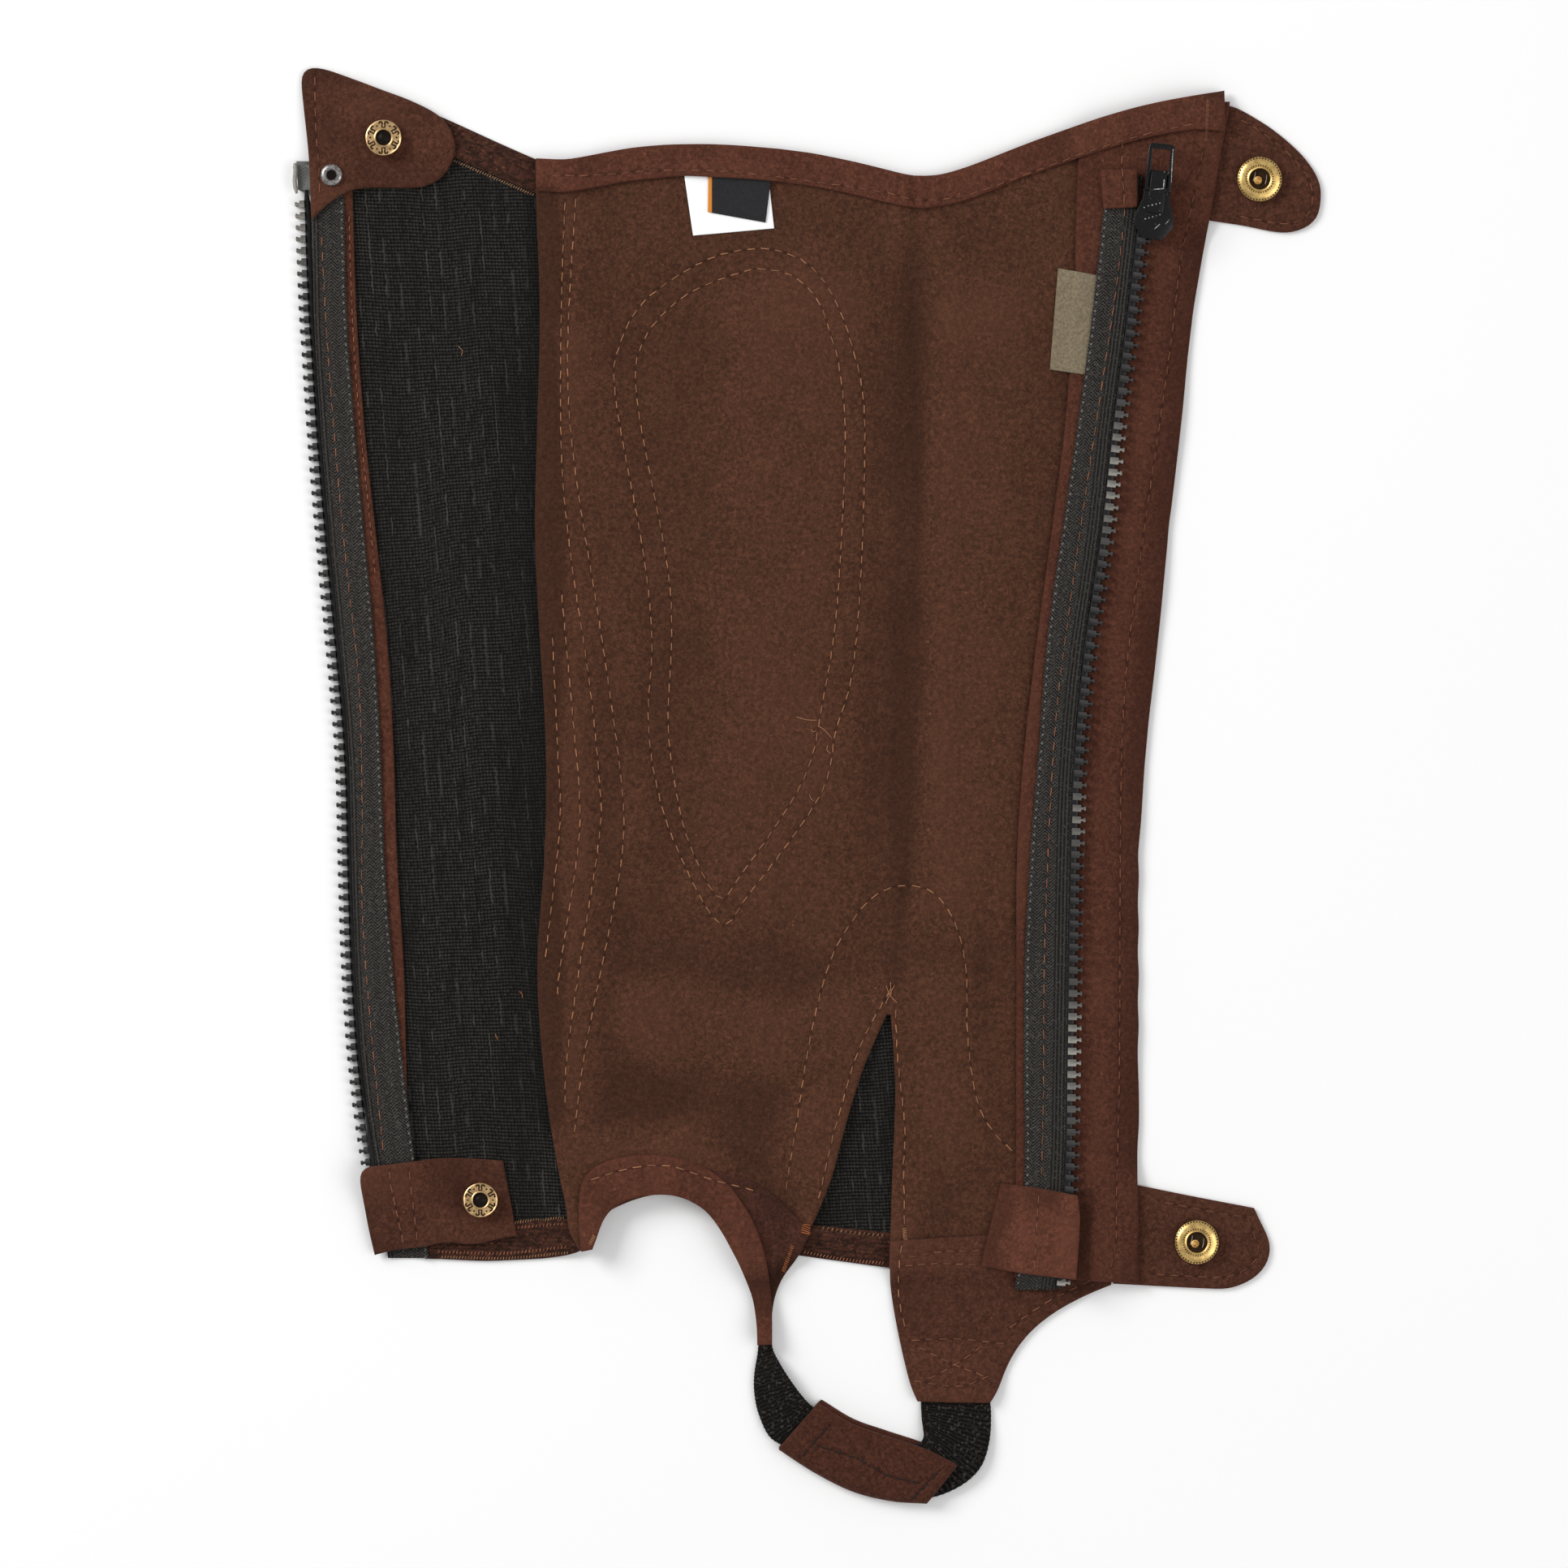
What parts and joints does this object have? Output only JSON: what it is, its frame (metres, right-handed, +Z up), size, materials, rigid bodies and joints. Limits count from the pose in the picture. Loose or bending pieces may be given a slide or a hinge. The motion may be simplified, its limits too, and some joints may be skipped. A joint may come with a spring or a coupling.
{
  "type": "half chap, unzipped and laid flat",
  "caption": "Child's brown suede half chap laid open flat, with stretch panels, side zip, snap tabs and an under-foot strap.",
  "frame": {"origin": "middle of the bounding box, on the surface that it lies on", "axes": "+X across the leg from the zip's left half to its right half, +Y from the foot to the knee, +Z up, out of the inner side that faces up"},
  "size_m": [0.2844, 0.3983, 0.0117],
  "materials": {
    "suede": "brown napped suede",
    "binding_suede": "lighter brown napped suede",
    "rib_knit": "black rib knit",
    "woven_elastic": "mottled brown woven elastic",
    "strap_elastic": "black woven elastic",
    "zip_tape": "charcoal twill",
    "zip_teeth": "black moulded plastic",
    "brass": "antique brass",
    "gunmetal": "dark nickel",
    "lacquer": "black lacquer",
    "care_label": "white satin",
    "size_label": "black damask",
    "side_label": "olive grey twill"
  },
  "bodies": {
    "garment": {"tab_top_right": "suede", "tab_bottom_right": "suede", "strap_sleeve": "suede", "main_panel": "suede", "foot_yoke": "suede", "strap_root": "suede", "zip_strip_left": "suede", "tab_top_left": "suede", "tab_bottom_left": "suede", "arch_band": "binding_suede", "zip_flap": "binding_suede", "zip_top_patch": "binding_suede", "zip_bottom_patch": "binding_suede", "top_binding": "binding_suede", "stretch_panel": "rib_knit", "gusset_panel": "rib_knit", "stretch_top_elastic": "woven_elastic", "stretch_bottom_elastic": "woven_elastic", "gusset_elastic": "woven_elastic", "strap_elastic": "strap_elastic", "zip_tape_right": "zip_tape", "zip_tape_left": "zip_tape", "zip_teeth_right": "zip_teeth", "zip_teeth_left": "zip_teeth", "cap_top": "brass", "cap_bottom": "brass", "stud_top": "brass", "stud_bottom": "brass", "stud_back_top": "brass", "stud_back_bottom": "brass", "socket_top": "brass", "socket_bottom": "brass", "eyelet": "gunmetal", "zip_slider": "lacquer", "care_label": "care_label", "size_label": "size_label", "side_label": "side_label"},
    "pull": {"zip_pull": "lacquer"}
  },
  "joints": [
    {"name": "pull_hinge", "type": "hinge", "parent": "garment", "child": "pull", "pos_m": [0.09632, 0.16462, 0.00989], "axis": [0.9941, -0.1083, 0], "range_deg": [0, 170]}
  ]
}
